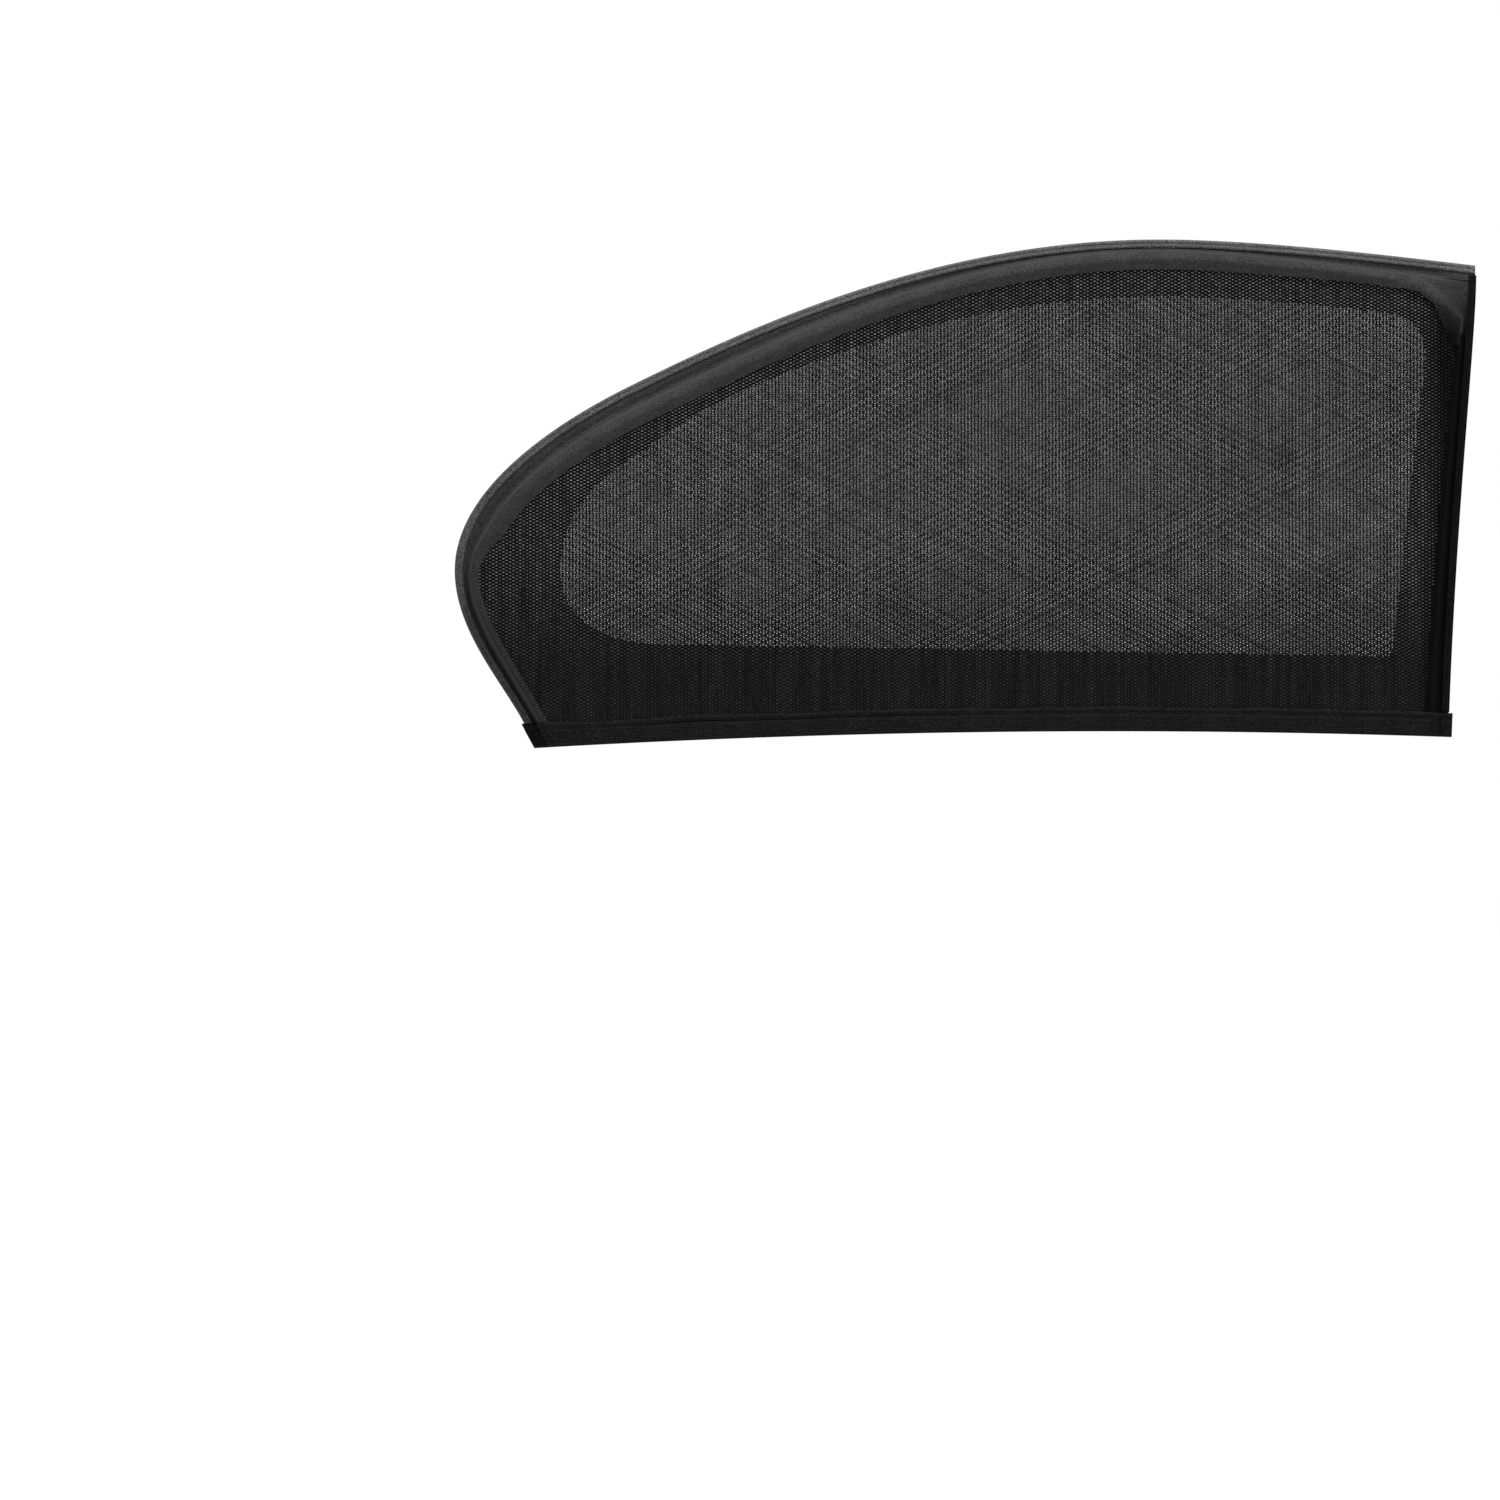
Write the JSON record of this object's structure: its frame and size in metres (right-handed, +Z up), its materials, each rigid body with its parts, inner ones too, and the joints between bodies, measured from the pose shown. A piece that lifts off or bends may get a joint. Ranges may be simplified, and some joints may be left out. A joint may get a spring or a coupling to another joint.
{
  "type": "car side window sunshade",
  "caption": "Stretch mesh sleeve that slips over the window frame of a rear side door to shade the glass, open along its elastic bottom hem.",
  "frame": {"origin": "middle of the open mouth, level with the bottom of the hem's rear end", "axes": "+X towards the front of the car, +Z up, and the cabin side faces -Y"},
  "size_m": [1.0233, 0.0642, 0.5097],
  "materials": {
    "net": "matt open warp-knit mesh",
    "knit": "matt dense stretch knit",
    "tape": "brushed knit binding tape with stitched ribs",
    "hem": "matt folded knit",
    "elastic": "matt"
  },
  "bodies": {
    "root": {"cabin_net": "net", "cabin_roof_border": "knit", "cabin_front_border": "knit", "cabin_hem": "hem", "cabin_hem_elastic": "elastic", "outer_border": "knit", "outer_net": "net", "outer_hem": "hem", "outer_hem_elastic": "elastic", "roof_binding": "tape", "front_binding": "tape"}
  },
  "joints": []
}
